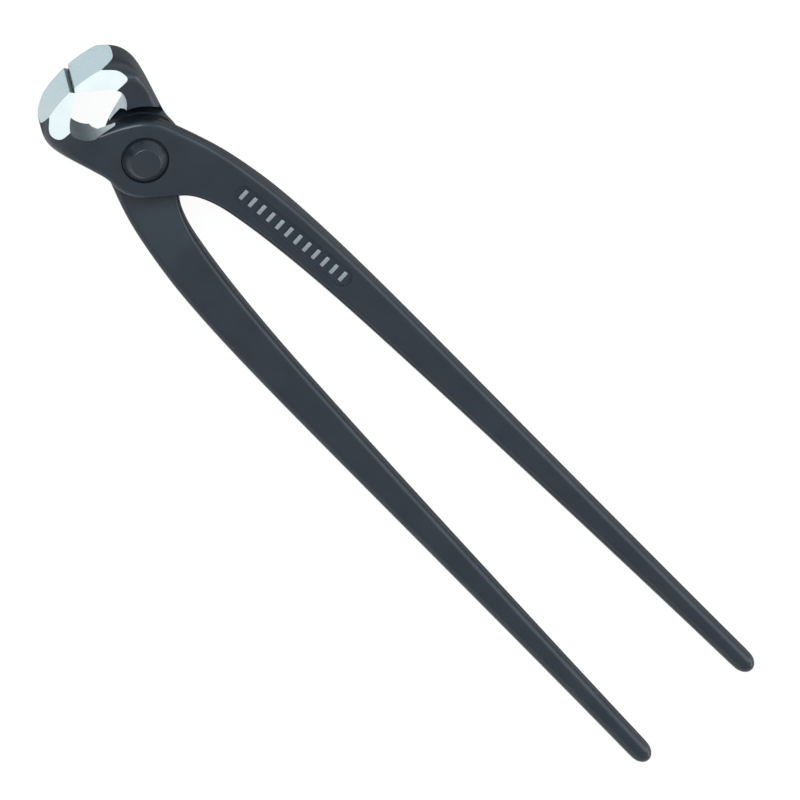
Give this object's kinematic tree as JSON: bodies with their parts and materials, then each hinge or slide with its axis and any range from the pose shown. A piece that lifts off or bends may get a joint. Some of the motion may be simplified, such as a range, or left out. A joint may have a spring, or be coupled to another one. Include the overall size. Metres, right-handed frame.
{
  "type": "rebar tying pliers",
  "caption": "End cutting nippers with long slim handles and a round nosed jaw, for twisting and cutting the soft wire that ties reinforcing bars.",
  "frame": {"origin": "middle of the flat on the rear rivet head, on the pivot's axis", "axes": "+X from the pivot to the handle ends, +Y towards the front lever's handle, +Z out of the front face along the pivot's axis"},
  "size_m": [0.2799, 0.048, 0.023],
  "materials": {
    "black_steel": "forged tool steel with a satin black phosphate coat, bright where the jaw is ground",
    "rivet_steel": "satin black phosphate coat"
  },
  "bodies": {
    "rear_half": {"rear_lever": "black_steel", "pivot_rivet": "rivet_steel"},
    "front_half": {"front_lever": "black_steel"}
  },
  "joints": [
    {"name": "lever_pivot", "type": "hinge", "parent": "rear_half", "child": "front_half", "pos_m": [0, 0, 0.0102], "axis": [0, 0, 1], "range_deg": [0, 36]}
  ]
}
